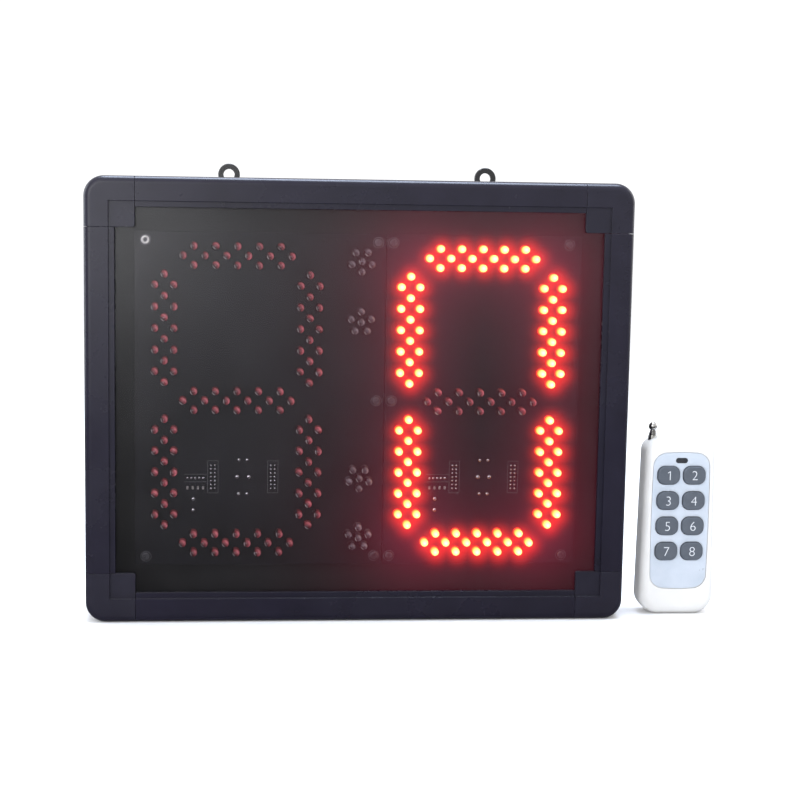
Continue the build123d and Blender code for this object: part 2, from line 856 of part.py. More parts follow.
with BuildPart() as remote_back_shell:
    with BuildSketch(depth_plane(rem_d / 2)):
        add(shell_outer)
    extrude(amount=rem_d / 2)
    rims = remote_back_shell.edges().filter_by(lambda e: abs(e.center().Y - rem_d / 2) < 1e-6)
    fillet(rims, 6.0)
    with BuildSketch(depth_plane(rem_d / 2 - 2.0)):
        add(shell_inner)
    extrude(amount=rem_d / 2 - 2.0, mode=Mode.SUBTRACT)
    with BuildSketch(depth_plane(rem_d / 2 + 1)):
        with Locations((rem_x, bat_z)):
            RectangleRounded(2 * bat_hx + 4.6, 2 * bat_cover_hh + 0.6, 2.3)
    extrude(amount=5, mode=Mode.SUBTRACT)
    with BuildSketch(depth_plane(rem_d / 2 - 2.0)):
        with Locations(*rem_boss):
            Circle(2.6)
    extrude(amount=rem_d / 2 - 2.0)
    with BuildSketch(depth_plane(rem_d / 2 + 1)):
        with Locations(*rem_boss):
            Circle(1.2)
    extrude(amount=rem_d, mode=Mode.SUBTRACT)
    with BuildSketch(depth_plane(rem_d / 2 + 1)):
        with Locations(*rem_boss):
            Circle(2.2)
    extrude(amount=6, mode=Mode.SUBTRACT)
    with BuildSketch(Plane.XY.offset(rem_h - 8)):
        with Locations((rem_x + aerial_x, 0)):
            Circle(3.1)
    extrude(amount=14, mode=Mode.SUBTRACT)

with BuildPart() as remote_screws:
    with BuildSketch(depth_plane(rem_d / 2 - 4.0)):
        with Locations(*rem_boss):
            Circle(1.0)
    extrude(amount=rem_d / 2 - 4.0 + 5.0)
    with BuildSketch(depth_plane(rem_d / 2 - 4.0)):
        with Locations(*rem_boss):
            Circle(1.95)
    extrude(amount=1.0)

with BuildPart() as remote_faceplate:
    with BuildSketch(depth_plane(rem_front + recess)):
        add(plate_shape)
    extrude(amount=face_t)
    with BuildSketch(depth_plane(rem_front + 1)):
        with Locations(*button_spots):
            RectangleRounded(button_w + 2 * button_gap, button_hh + 2 * button_gap, 5.2)
        with Locations((rem_x, window_z)):
            SlotOverall(8.1, 3.6)
    extrude(amount=3, mode=Mode.SUBTRACT)

with BuildPart() as remote_led_window:
    with BuildSketch(depth_plane(rem_front + 2.4)):
        with Locations((rem_x, window_z)):
            SlotOverall(8.0, 3.5)
    extrude(amount=2.2)
    with BuildSketch(depth_plane(board_y)):
        with Locations((rem_x, window_z)):
            Circle(1.5)
    extrude(amount=board_y - rem_front - 2.4)

cap_front = rem_front - 1.4
flange_front = rem_front + 2.7
flange_back = flange_front + 1.0


def remote_button(x, z):
    """Button cap with a retaining flange and a stem over its dome."""
    with BuildPart() as b:
        with BuildSketch(depth_plane(flange_front)):
            with Locations((x, z)):
                RectangleRounded(button_w, button_hh, 4.9)
        extrude(amount=flange_front - cap_front)
        tops = b.edges().filter_by(lambda e: abs(e.center().Y - cap_front) < 1e-6)
        fillet(tops, 0.9)
        with BuildSketch(depth_plane(flange_back)):
            with Locations((x, z)):
                RectangleRounded(button_w + 1.4, button_hh + 1.4, 5.4)
        extrude(amount=1.0)
        with BuildSketch(depth_plane(board_y - 1.5)):
            with Locations((x, z)):
                Circle(2.2)
        extrude(amount=board_y - 1.5 - flange_back)
    return b.part


# PRIVATE: eight copies of one button
remote_buttons = [remote_button(x, z) for x, z in button_spots]

with BuildPart() as remote_circuit_board:
    with BuildSketch(depth_plane(board_y + 1.2)):
        with Locations((rem_x + 3.0, 60.5)):
            RectangleRounded(31, 93, 1.5)
    extrude(amount=1.2)

with BuildPart() as remote_switch_domes:
    for x, z in button_spots:
        with BuildSketch(depth_plane(board_y)):
            with Locations((x, z)):
                Circle(2.6)
        extrude(amount=0.3)
        with BuildSketch(depth_plane(board_y - 0.3)):
            with Locations((x, z)):
                Circle(1.6)
        extrude(amount=0.2)

with BuildPart() as remote_encoder_chip:
    with BuildSketch(depth_plane(board_y + 2.9)):
        with Locations((rem_x + 4, 74)):
            Rectangle(7.5, 11)
    extrude(amount=1.7)

with BuildPart() as remote_battery:
    with BuildSketch(Plane.YZ.offset(rem_x - 14.25)):
        with Locations((bat_y, bat_z)):
            Circle(4.0)
    extrude(amount=27.5)
    with BuildSketch(Plane.YZ.offset(rem_x + 13.25)):
        with Locations((bat_y, bat_z)):
            Circle(1.9)
    extrude(amount=1.0)

with BuildPart() as remote_battery_contacts:
    with BuildSketch(Plane.YZ.offset(rem_x + 14.25)):
        with Locations(((board_y + 1.2 + bat_y + 3.5) / 2, bat_z)):
            Rectangle(bat_y + 3.5 - board_y - 1.2, 8)
    extrude(amount=0.5)
    with BuildSketch(Plane.YZ.offset(rem_x - 14.75)):
        with Locations(((board_y + 1.2 + bat_y + 3.5) / 2, bat_z)):
            Rectangle(bat_y + 3.5 - board_y - 1.2, 8)
    extrude(amount=0.5)

with BuildPart() as remote_battery_cover:
    with BuildSketch(depth_plane(rem_d / 2)):
        with Locations((rem_x, bat_z)):
            RectangleRounded(2 * bat_hx + 4.0, 2 * bat_cover_hh, 2.0)
    extrude(amount=1.6)
    with BuildSketch(depth_plane(rem_d / 2 + 0.6)):
        for i in range(5):
            with Locations((rem_x, bat_z + 4 + 1.8 * i)):
                Rectangle(14, 0.8)
    extrude(amount=0.6)

# Telescopic aerial: a fixed sleeve and three stages, all pushed in
stage_len = 62.0
aerial_low = aerial_top - stage_len - 2
radii = ((3.0, 2.6), (2.52, 2.12), (2.04, 1.64), (1.56, 0.0))

with BuildPart() as remote_antenna_sleeve:
    with BuildSketch(Plane.XY.offset(aerial_low - 1)):
        with Locations((rem_x + aerial_x, 0)):
            Circle(radii[0][0])
            Circle(radii[0][1], mode=Mode.SUBTRACT)
    extrude(amount=stage_len + 2.4)

with BuildPart() as remote_antenna_stage_1:
    with BuildSketch(Plane.XY.offset(aerial_low + 1)):
        with Locations((rem_x + aerial_x, 0)):
            Circle(radii[1][0])
            Circle(radii[1][1], mode=Mode.SUBTRACT)
    extrude(amount=stage_len + 2.2)

with BuildPart() as remote_antenna_stage_2:
    with BuildSketch(Plane.XY.offset(aerial_low + 2)):
        with Locations((rem_x + aerial_x, 0)):
            Circle(radii[2][0])
            Circle(radii[2][1], mode=Mode.SUBTRACT)
    extrude(amount=stage_len + 2.8)

with BuildPart() as remote_antenna_tip:
    with BuildSketch(Plane.XY.offset(aerial_low + 3)):
        with Locations((rem_x + aerial_x, 0)):
            Circle(radii[3][0])
    extrude(amount=stage_len + 3)
    with Locations((rem_x + aerial_x, 0, aerial_low + stage_len + 7.6)):
        Sphere(2.9)

# ------------------------------------------------------------------ export

built = {
    "frame_left": frame_left.part,
    "frame_right": frame_right.part,
    "frame_top": frame_top.part,
    "frame_bottom": frame_bottom.part,
    "corner_cover_top_left": cover_top_left,
    "corner_cover_top_right": cover_top_right,
    "corner_cover_bottom_left": cover_bottom_left,
    "corner_cover_bottom_right": cover_bottom_right,
    "corner_keys": corner_keys,
    "front_panel": front_panel.part,
    "led_board_left": led_board_left,
    "led_board_right": led_board_right,
    "tens_digit_leds": tens_digit_leds,
    "units_digit_leds": units_digit_leds,
    "units_middle_segment_leds": units_middle_segment_leds,
    "colon_leds": colon_leds,
    "ribbon_headers": ribbon_headers.part,
    "driver_chips": driver_chips.part,
    "board_capacitors": board_capacitors.part,
    "board_standoffs": board_standoffs.part,
    "board_screws": board_screws.part,
    "back_plate": back_plate.part,
    "back_plate_screws": back_plate_screws,
    "standoff_screws": standoff_screws,
    "hanger_left": hanger_left,
    "hanger_right": hanger_right,
    "hanger_screws": hanger_screws.part,
    "controller_board": controller_board.part,
    "microcontroller": microcontroller.part,
    "voltage_regulator": voltage_regulator.part,
    "rf_receiver_module": rf_receiver_module.part,
    "receiver_antenna": receiver_antenna.part,
    "buzzer": buzzer.part,
    "power_jack": power_jack.part,
    "jack_nut": jack_nut.part,
    "power_leads": power_leads.part,
    "ribbon_cable": ribbon_cable.part,
    "remote_front_shell": remote_front_shell.part,
    "remote_back_shell": remote_back_shell.part,
    "remote_screws": remote_screws.part,
    "remote_faceplate": remote_faceplate.part,
    "remote_led_window": remote_led_window.part,
    "remote_circuit_board": remote_circuit_board.part,
    "remote_switch_domes": remote_switch_domes.part,
    "remote_encoder_chip": remote_encoder_chip.part,
    "remote_battery": remote_battery.part,
    "remote_battery_contacts": remote_battery_contacts.part,
    "remote_battery_cover": remote_battery_cover.part,
    "remote_antenna_sleeve": remote_antenna_sleeve.part,
    "remote_antenna_stage_1": remote_antenna_stage_1.part,
    "remote_antenna_stage_2": remote_antenna_stage_2.part,
    "remote_antenna_tip": remote_antenna_tip.part,
}
for number, solid in enumerate(remote_buttons, start=1):
    built[f"remote_button_{number}"] = solid

for label, solid in built.items():
    solid.label = label
    export_step(solid, f"parts/{label}.step")
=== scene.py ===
import json
import math

import bmesh
import bpy
import numpy as np
from mathutils import Matrix, Vector


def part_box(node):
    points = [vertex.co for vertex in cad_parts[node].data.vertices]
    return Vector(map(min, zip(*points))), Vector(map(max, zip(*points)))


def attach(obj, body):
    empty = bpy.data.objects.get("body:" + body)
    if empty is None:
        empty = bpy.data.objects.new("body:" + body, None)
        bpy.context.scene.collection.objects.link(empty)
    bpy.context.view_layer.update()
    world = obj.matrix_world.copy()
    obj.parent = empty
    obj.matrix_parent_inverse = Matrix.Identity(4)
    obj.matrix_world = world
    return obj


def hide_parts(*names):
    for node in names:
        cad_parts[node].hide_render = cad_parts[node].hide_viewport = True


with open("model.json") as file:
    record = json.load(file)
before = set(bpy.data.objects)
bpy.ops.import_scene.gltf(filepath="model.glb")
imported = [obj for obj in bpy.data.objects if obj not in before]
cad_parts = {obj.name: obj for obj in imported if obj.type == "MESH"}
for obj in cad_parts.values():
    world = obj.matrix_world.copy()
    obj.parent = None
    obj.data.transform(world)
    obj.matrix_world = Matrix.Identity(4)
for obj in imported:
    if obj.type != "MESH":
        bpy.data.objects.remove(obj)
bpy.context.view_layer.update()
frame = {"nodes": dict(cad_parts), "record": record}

# ------------------------------------------------------------------ camera
CAMERA_AT = (-0.0848, -1.0087, 0.2592)
CAMERA_TURN = math.radians(-4.74)
CAMERA_TILT = math.radians(-6.56)
CAMERA_ROLL = math.radians(-0.81)
CAMERA_LENS = 69.75
CAMERA_SHIFT = (0.055, 0.0)

cam_data = bpy.data.cameras.new("camera")
cam_data.sensor_width = 36
cam_data.lens = CAMERA_LENS
cam_data.shift_x, cam_data.shift_y = CAMERA_SHIFT
cam = bpy.data.objects.new("camera", cam_data)
bpy.context.collection.objects.link(cam)
cam.matrix_world = (
    Matrix.Translation(CAMERA_AT)
    @ Matrix.Rotation(CAMERA_TURN, 4, "Z")
    @ Matrix.Rotation(CAMERA_TILT, 4, "X")
    @ Matrix.Rotation(CAMERA_ROLL, 4, "Y")
    @ Matrix.Rotation(math.radians(90), 4, "X")
)
bpy.context.scene.camera = cam
bpy.context.scene.view_settings.view_transform = "Standard"


# --------------------------------------------------------------- materials
class Shader:
    """Small helper that builds one node material."""

    def __init__(self, name):
        self.mat = bpy.data.materials.new(name)
        self.mat.use_nodes = True
        self.tree = self.mat.node_tree
        self.tree.nodes.clear()
        self.out = self.tree.nodes.new("ShaderNodeOutputMaterial")
        self.where = self.add("ShaderNodeTexCoord").outputs["Object"]

    def add(self, kind, ins=None, **props):
        n = self.tree.nodes.new(kind)
        for k, v in props.items():
            setattr(n, k, v)
        for k, v in (ins or {}).items():
            self.set(n.inputs[k], v)
        return n

    def set(self, socket, v):
        if isinstance(v, bpy.types.NodeSocket):
            self.tree.links.new(v, socket)
        else:
            socket.default_value = v

    def math(self, op, a, b=0.0, c=0.0):
        n = self.add("ShaderNodeMath", operation=op)
        for i, v in enumerate((a, b, c)):
            self.set(n.inputs[i], v)
        return n.outputs[0]

    def noise(self, scale, detail=3.0, rough=0.5, stretch=None):
        at = self.where
        if stretch:
            at = self.add("ShaderNodeMapping", {"Vector": at, "Scale": stretch}).outputs[0]
        ins = {"Vector": at, "Scale": scale, "Detail": detail, "Roughness": rough}
        return self.add("ShaderNodeTexNoise", ins).outputs[0]

    def span(self, v, a, b, c, d, smooth=False):
        """Maps v from the stretch a to b onto c to d, held at both ends."""
        n = self.add("ShaderNodeMapRange", {0: v, 1: a, 2: b, 3: c, 4: d})
        n.clamp = True
        if smooth:
            n.interpolation_type = "SMOOTHSTEP"
        return n.outputs[0]

    def mix(self, f, a, b):
        n = self.add("ShaderNodeMix", data_type="RGBA")
        self.set(n.inputs[0], f)
        self.set(n.inputs[6], a)
        self.set(n.inputs[7], b)
        return n.outputs[2]

    def close(self, shader):
        self.tree.links.new(shader, self.out.inputs["Surface"])
        return self.mat


def rgba(c):
    return (*c, 1.0)


def finish_of(
    name, dark, light, rough=(0.35, 0.5), metallic=0.0, grain=1500.0, depth=0.12, mottle=60.0,
    wear=None, wear_at=0.55, coat=0.0, bevel=0.0004, stretch=None, ior=1.5, edge=0.0011, spec=0.5,
):
    """A real surface: colour drift, uneven gloss, fine texture, softened and worn edges."""
    s = Shader(name)
    drift = s.noise(mottle, 5.0, 0.6)
    colour = s.mix(s.span(drift, 0.3, 0.7, 0.0, 1.0), rgba(dark), rgba(light))
    smudge = s.noise(mottle * 0.35, 6.0, 0.65)
    gloss = s.span(smudge, 0.3, 0.72, rough[0], rough[1])
    soft = s.add("ShaderNodeBevel", {"Radius": bevel}, samples=4).outputs[0]
    fine = s.noise(grain, 2.0, 0.5, stretch)
    bump = s.add("ShaderNodeBump", {"Strength": depth, "Distance": 0.0002, "Height": fine, "Normal": soft})
    if wear:
        wide = s.add("ShaderNodeBevel", {"Radius": edge}, samples=6).outputs[0]
        flat = s.add("ShaderNodeNewGeometry").outputs["Normal"]
        dot = s.add("ShaderNodeVectorMath", {0: wide, 1: flat}, operation="DOT_PRODUCT").outputs["Value"]
        edges = s.span(dot, 0.995, 0.93, 0.0, 1.0)
        chips = s.span(s.noise(420.0, 8.0, 0.75), wear_at, wear_at + 0.05, 0.0, 1.0)
        rubs = s.span(s.noise(46.0, 3.0, 0.6), 0.48, 0.62, 0.0, 1.0)
        worn = s.math("MULTIPLY", s.math("MULTIPLY", edges, chips), rubs)
        colour = s.mix(worn, colour, rgba(wear))
    p = s.add(
        "ShaderNodeBsdfPrincipled",
        {"Base Color": colour, "Roughness": gloss, "Metallic": metallic, "Normal": bump.outputs[0],
         "Coat Weight": coat, "Coat Roughness": 0.12, "IOR": ior, "Specular IOR Level": spec},
    )
    return s.close(p.outputs[0])


powder = finish_of("black_powder_coat", (0.0070, 0.0058, 0.0130), (0.0100, 0.0086, 0.0180), (0.20, 0.32),
                   grain=2100.0, depth=0.06, mottle=35.0, wear=(0.20, 0.20, 0.23), wear_at=0.62, spec=0.32)
corner = finish_of("black_corner_plastic", (0.0085, 0.0074, 0.0150), (0.0120, 0.0108, 0.0205), (0.24, 0.36),
                   grain=3200.0, depth=0.09, mottle=48.0, wear=(0.20, 0.20, 0.23), wear_at=0.62, spec=0.32)
back_coat = finish_of("textured_back_coat", (0.010, 0.010, 0.012), (0.016, 0.016, 0.018), (0.5, 0.66),
                      grain=1200.0, depth=0.45, mottle=30.0, wear=(0.35, 0.35, 0.36), wear_at=0.58)
hanger_paint = finish_of("hanger_paint", (0.007, 0.007, 0.008), (0.013, 0.013, 0.014), (0.25, 0.40),
                         grain=1600.0, depth=0.2, wear=(0.45, 0.44, 0.42), wear_at=0.50, edge=0.0006)
zinc = finish_of("zinc_plate", (0.50, 0.50, 0.47), (0.66, 0.65, 0.60), (0.24, 0.42), metallic=1.0,
                 grain=2600.0, depth=0.12, mottle=260.0, bevel=0.0002)
dull_steel = finish_of("dull_steel", (0.10, 0.10, 0.105), (0.16, 0.16, 0.165), (0.30, 0.46), metallic=1.0,
                       grain=2600.0, depth=0.15, mottle=300.0, bevel=0.0002)
black_oxide = finish_of("black_oxide", (0.012, 0.012, 0.013), (0.03, 0.03, 0.032), (0.3, 0.46),
                        metallic=0.6, grain=2600.0, depth=0.15, mottle=240.0, wear=(0.5, 0.5, 0.5),
                        edge=0.0004, bevel=0.0002)
board_mask = finish_of("black_solder_mask", (0.008, 0.0078, 0.0096), (0.012, 0.0118, 0.0140), (0.30, 0.42),
                       grain=900.0, depth=0.03, mottle=22.0, bevel=0.0002, spec=0.2)
green_mask = finish_of("green_solder_mask", (0.010, 0.075, 0.028), (0.016, 0.11, 0.04), (0.28, 0.4),
                       grain=1400.0, depth=0.06, mottle=90.0, bevel=0.0002)
black_mould = finish_of("black_moulding", (0.012, 0.012, 0.013), (0.02, 0.02, 0.021), (0.42, 0.6),
                        grain=2400.0, depth=0.12, mottle=120.0, bevel=0.0002)
epoxy = finish_of("chip_epoxy", (0.010, 0.010, 0.011), (0.017, 0.017, 0.018), (0.45, 0.6),
                  grain=4200.0, depth=0.25, mottle=300.0, bevel=0.0001)
cap_sleeve = finish_of("capacitor_sleeve", (0.010, 0.013, 0.03), (0.014, 0.018, 0.045), (0.2, 0.3),
                       grain=900.0, depth=0.05, mottle=150.0, bevel=0.0002)
copper = finish_of("enamelled_copper", (0.50, 0.20, 0.08), (0.66, 0.30, 0.13), (0.2, 0.3), metallic=1.0,
                   grain=2600.0, depth=0.05, mottle=300.0, bevel=0.00005)
vinyl_red = finish_of("lead_insulation", (0.22, 0.010, 0.010), (0.32, 0.016, 0.014), (0.38, 0.5),
                      grain=1800.0, depth=0.08, mottle=120.0, bevel=0.00005)
shell_white = finish_of("white_remote_shell", (0.585, 0.58, 0.565), (0.645, 0.64, 0.625), (0.30, 0.42),
                        grain=2600.0, depth=0.07, mottle=26.0, bevel=0.00035, coat=0.08)
plate_silver = finish_of("remote_plate_lacquer", (0.49, 0.55, 0.62), (0.57, 0.62, 0.69), (0.26, 0.36),
                         metallic=0.25, grain=5200.0, depth=0.10, mottle=55.0, bevel=0.00015, coat=0.25)
keycap = finish_of("button_keycap", (0.058, 0.070, 0.088), (0.074, 0.087, 0.107), (0.42, 0.55),
                   grain=3400.0, depth=0.14, mottle=180.0, bevel=0.0003)
lens_dark = finish_of("indicator_lens", (0.02, 0.022, 0.026), (0.035, 0.037, 0.043), (0.10, 0.18),
                      grain=1200.0, depth=0.02, mottle=220.0, bevel=0.0002, coat=0.5)
wrap = finish_of("battery_wrap", (0.02, 0.04, 0.20), (0.03, 0.06, 0.27), (0.22, 0.34), metallic=0.4,
                 grain=900.0, depth=0.05, mottle=160.0, bevel=0.0002)
nickel = finish_of("nickel_plate", (0.58, 0.57, 0.53), (0.70, 0.69, 0.65), (0.16, 0.28), metallic=1.0,
                   grain=2400.0, depth=0.08, mottle=220.0, bevel=0.0001)
chrome = finish_of("bright_chrome", (0.36, 0.35, 0.34), (0.48, 0.47, 0.45), (0.12, 0.22), metallic=1.0,
                   grain=800.0, depth=0.05, mottle=200.0, bevel=0.00015, stretch=(1, 1, 14))
jack_black = finish_of("jack_plastic", (0.010, 0.010, 0.010), (0.016, 0.016, 0.016), (0.2, 0.34),
                       grain=1500.0, depth=0.06, mottle=140.0, bevel=0.0002)
print_white = finish_of("board_print", (0.10, 0.10, 0.10), (0.16, 0.16, 0.155), (0.5, 0.65),
                        grain=5200.0, depth=0.2, mottle=700.0, bevel=0.00002)
numeral = finish_of("button_numeral", (0.50, 0.53, 0.56), (0.60, 0.62, 0.65), (0.45, 0.6),
                    grain=5200.0, depth=0.1, mottle=900.0, bevel=0.00002)
solder = finish_of("solder", (0.55, 0.55, 0.56), (0.72, 0.72, 0.72), (0.16, 0.34), metallic=1.0,
                   grain=1900.0, depth=0.25, mottle=700.0, bevel=0.00005)
smd = finish_of("small_components", (0.10, 0.085, 0.065), (0.30, 0.29, 0.27), (0.3, 0.5),
                grain=1900.0, depth=0.1, mottle=900.0, bevel=0.00005)


WIRE_PITCH = 0.00127


def ribbon_material():
    """Grey ribbon cable with a ridge over each wire."""
    s = Shader("ribbon_vinyl")
    xyz = s.add("ShaderNodeSeparateXYZ", {0: s.where})
    across = s.math("ADD", xyz.outputs["X"], xyz.outputs["Z"])
    ridge = s.math("SINE", s.math("MULTIPLY", across, 2 * math.pi / WIRE_PITCH))
    bump = s.add("ShaderNodeBump", {"Strength": 0.6, "Distance": 0.0003, "Height": ridge})
    drift = s.span(s.noise(90.0), 0.3, 0.7, 0.0, 1.0)
    colour = s.mix(drift, rgba((0.27, 0.28, 0.30)), rgba((0.36, 0.37, 0.39)))
    p = s.add("ShaderNodeBsdfPrincipled", {"Base Color": colour, "Normal": bump.outputs[0],
                                           "Roughness": s.span(s.noise(300.0), 0.3, 0.7, 0.38, 0.52)})
    return s.close(p.outputs[0])


ribbon = ribbon_material()

tens_lo, tens_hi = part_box("tens_digit_leds")
units_lo, units_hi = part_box("units_digit_leds")
tens_mid = (tens_lo + tens_hi) / 2
units_mid = (units_lo + units_hi) / 2
PITCH = 0.0139  # between LEDs along a segment
ROW_OFF = 0.0061  # from a segment's centre row to its outer rows
SEG_X = 0.04675  # from the digit's middle to its upright segments
SEG_Z = 0.0934  # from the digit's middle to its top and bottom segments
LONG_ROW = 2.499  # half the centre row in pitches, just short of the cell's edge
SHORT_ROW = 1.999  # half an outer row
BLOOM_R = 0.0060
BLOOM_COLOUR = (1.0, 0.024, 0.012)
BLOOM_POWER = 0.40
WASH_R = 0.022
WASH_COLOUR = (1.0, 0.050, 0.160)
WASH_POWER = 0.066


def node_hypot(s, a, b):
    return s.math("SQRT", s.math("ADD", s.math("MULTIPLY", a, a), s.math("MULTIPLY", b, b)))


def row_bloom(s, along, across, half_row, shift):
    """Light round each LED of one row; shift moves the lattice, which else straddles the middle."""
    held = s.math("MINIMUM", s.math("MAXIMUM", along, -half_row * PITCH), half_row * PITCH)
    cell = s.math("FLOORED_MODULO", s.math("ADD", held, shift), PITCH)
    off_led = s.math("ADD", s.math("SUBTRACT", cell, PITCH / 2), s.math("SUBTRACT", along, held))
    dist = node_hypot(s, off_led, across)
    return s.math("EXPONENT", s.math("MULTIPLY", s.math("MULTIPLY", dist, dist), -1 / BLOOM_R**2))


def segment_wash(s, along, across):
    """Faint wide light round a whole segment."""
    past_end = s.math("MAXIMUM", s.math("SUBTRACT", s.math("ABSOLUTE", along), PITCH * 2.5), 0.0)
    return s.math("EXPONENT", s.math("DIVIDE", node_hypot(s, past_end, across), -WASH_R))


def glow_field(s):
    """How near a point on a flat sheet is to the lit LEDs of the units digit, worked out from
    the digit's own lattice: two flat segments and four upright ones, mirrored about its middle."""
    xyz = s.add("ShaderNodeSeparateXYZ", {0: s.where})
    x = s.math("SUBTRACT", xyz.outputs["X"], units_mid.x)
    z = s.math("ABSOLUTE", s.math("SUBTRACT", xyz.outputs["Z"], units_mid.z))
    flat = (x, s.math("SUBTRACT", z, SEG_Z))
    upright = (s.math("SUBTRACT", z, SEG_Z / 2), s.math("SUBTRACT", s.math("ABSOLUTE", x), SEG_X))
    near, wide = [], []
    for along, across in (flat, upright):
        off_row = s.math("SUBTRACT", s.math("ABSOLUTE", across), ROW_OFF)
        near.append(row_bloom(s, along, across, LONG_ROW, 0.0))
        near.append(row_bloom(s, along, off_row, SHORT_ROW, PITCH / 2))
        wide.append(segment_wash(s, along, across))
    near_sum = s.math("ADD", s.math("ADD", near[0], near[1]), s.math("ADD", near[2], near[3]))
    return near_sum, s.math("ADD", wide[0], wide[1])


def emission(s, colour, field, power):
    ins = {"Color": rgba(colour), "Strength": s.math("MULTIPLY", field, power)}
    return s.add("ShaderNodeEmission", ins).outputs[0]


def smoked_acrylic():
    """Smoked sheet that dims what is behind it; the lit LEDs' red glow is drawn in it as emission."""
    s = Shader("smoked_acrylic")
    drift = s.span(s.noise(14.0, 2.0), 0.3, 0.7, 0.0, 1.0)
    tint = s.mix(drift, rgba((0.81, 0.80, 0.82)), rgba((0.84, 0.83, 0.85)))
    clear = s.add("ShaderNodeBsdfTransparent", {"Color": tint})
    haze = s.span(s.noise(30.0, 6.0, 0.7), 0.25, 0.8, 0.20, 0.30)
    wave = s.noise(7.0, 2.0, 0.4)
    bump = s.add("ShaderNodeBump", {"Strength": 0.25, "Distance": 0.0006, "Height": wave}).outputs[0]
    shine = s.add("ShaderNodeBsdfGlossy", {"Color": rgba((1, 1, 1)), "Roughness": haze, "Normal": bump})
    # both faces of the sheet gloss alike, 2 % head on and more towards grazing
    facing = s.add("ShaderNodeLayerWeight", {"Blend": 0.5}).outputs["Facing"]
    gloss = s.math("ADD", s.math("MULTIPLY", s.math("POWER", facing, 5.0), 0.98), 0.02)
    mixed = s.add("ShaderNodeMixShader", {0: gloss, 1: clear.outputs[0], 2: shine.outputs[0]})
    near, wide = glow_field(s)
    bloom = emission(s, BLOOM_COLOUR, near, BLOOM_POWER)
    wash = emission(s, WASH_COLOUR, wide, WASH_POWER)
    glow = s.add("ShaderNodeAddShader", {0: bloom, 1: wash})
    total = s.add("ShaderNodeAddShader", {0: mixed.outputs[0], 1: glow.outputs[0]})
    return s.close(total.outputs[0])


# Colours from an LED's rim, at 0, to the top of its dome, at 1; on the unlit kinds the bright last stop is
# a painted highlight on the dome's tip
LED_STOPS = {
    "lit": (
        (0.0, (0.90, 0.020, 0.010)), (0.20, (1.0, 0.16, 0.020)), (0.30, (1.0, 0.50, 0.06)),
        (0.45, (1.0, 0.88, 0.22)), (1.0, (1.0, 0.97, 0.42)),
    ),
    "dark": (
        (0.0, (0.035, 0.012, 0.014)), (0.4, (0.52, 0.10, 0.11)), (0.62, (0.34, 0.055, 0.065)),
        (0.85, (0.20, 0.030, 0.036)), (1.0, (0.46, 0.13, 0.14)),
    ),
    "clear": (
        (0.0, (0.08, 0.07, 0.075)), (0.5, (0.17, 0.14, 0.15)), (0.78, (0.10, 0.085, 0.09)),
        (0.9, (0.04, 0.035, 0.04)), (1.0, (0.22, 0.19, 0.20)),
    ),
}
# colours of the painted glint on the unlit LEDs
LED_PAINTED_GLINT = {"dark": (0.95, 0.26, 0.28), "clear": (0.36, 0.31, 0.32)}


def unlit_colour(s, ramp, core, own, toward_glint, glint):
    """Colour of an unlit LED with light and shade painted in: a painted glint on the cup's side
    towards the light, painted shade on the far side and a small painted pale highlight off the cup's lip."""
    # painted glint: the cup's side towards the light is drawn in the glint colour
    towards = s.span(toward_glint, 0.15, 0.75, 0.0, 1.0, smooth=True)
    cup = s.math("MULTIPLY", towards, s.span(core, 0.30, 0.42, 0.0, 1.0))
    shaped = s.mix(s.math("MULTIPLY", cup, 0.8), ramp, rgba(glint))
    # painted shade: the side away from the light is drawn dark
    painted_shade_fade = s.span(toward_glint, -0.55, 0.30, 0.0, 1.0, smooth=True)
    shaped = s.mix(painted_shade_fade, rgba((0.030, 0.014, 0.016)), shaped)
    # painted highlight: a small pale spot off the cup's lip
    highlight_band = s.math("MULTIPLY", s.span(toward_glint, -0.88, -0.74, 0.0, 1.0), s.span(toward_glint, -0.60, -0.46, 1.0, 0.0))
    painted_fleck = s.math("MULTIPLY", highlight_band, s.span(core, 0.42, 0.48, 0.0, 0.7))
    shaped = s.mix(painted_fleck, shaped, rgba((0.42, 0.38, 0.36)))
    return s.mix(s.span(own, 0.0, 1.0, 0.0, 0.28), shaped, rgba((0.0, 0.0, 0.0)))


def led_material(name, kind):
    """Epoxy LED seen from its tip: rim, body and the bright or dark middle over its cup; an unlit LED's
    glint and shade are painted into its colour.
    """
    s = Shader(name)
    core = s.add("ShaderNodeAttribute", attribute_name="core").outputs["Fac"]
    own = s.add("ShaderNodeAttribute", attribute_name="own").outputs["Fac"]
    ramp = s.add("ShaderNodeValToRGB", {0: core})
    els = ramp.color_ramp.elements
    for i, (at, c) in enumerate(LED_STOPS[kind]):
        e = els[i] if i < 2 else els.new(at)
        e.position = at
        e.color = rgba(c)
    bump = s.add("ShaderNodeBump", {"Strength": 0.08, "Distance": 0.0002, "Height": s.noise(900.0, 2.0)})
    gloss = s.span(s.noise(400.0), 0.3, 0.7, 0.10, 0.22)
    ins = {"Roughness": gloss, "IOR": 1.54, "Normal": bump.outputs[0]}
    if kind == "lit":
        level = s.math("ADD", 1.8, s.math("MULTIPLY", s.math("POWER", core, 2.0), 2.4))
        ins["Base Color"] = rgba((0.3, 0.01, 0.005))
        ins["Emission Color"] = ramp.outputs[0]
        ins["Emission Strength"] = s.math("MULTIPLY", level, s.span(own, 0.0, 1.0, 1.12, 0.88))
    else:
        toward_glint = s.add("ShaderNodeAttribute", attribute_name="toward_glint").outputs["Fac"]
        ins["Base Color"] = unlit_colour(s, ramp.outputs[0], core, own, toward_glint, LED_PAINTED_GLINT[kind])
    return s.close(s.add("ShaderNodeBsdfPrincipled", ins).outputs[0])


acrylic = smoked_acrylic()
led_lit = led_material("lit_led", "lit")
led_dark = led_material("dark_red_led", "dark")
led_clear = led_material("clear_led", "clear")

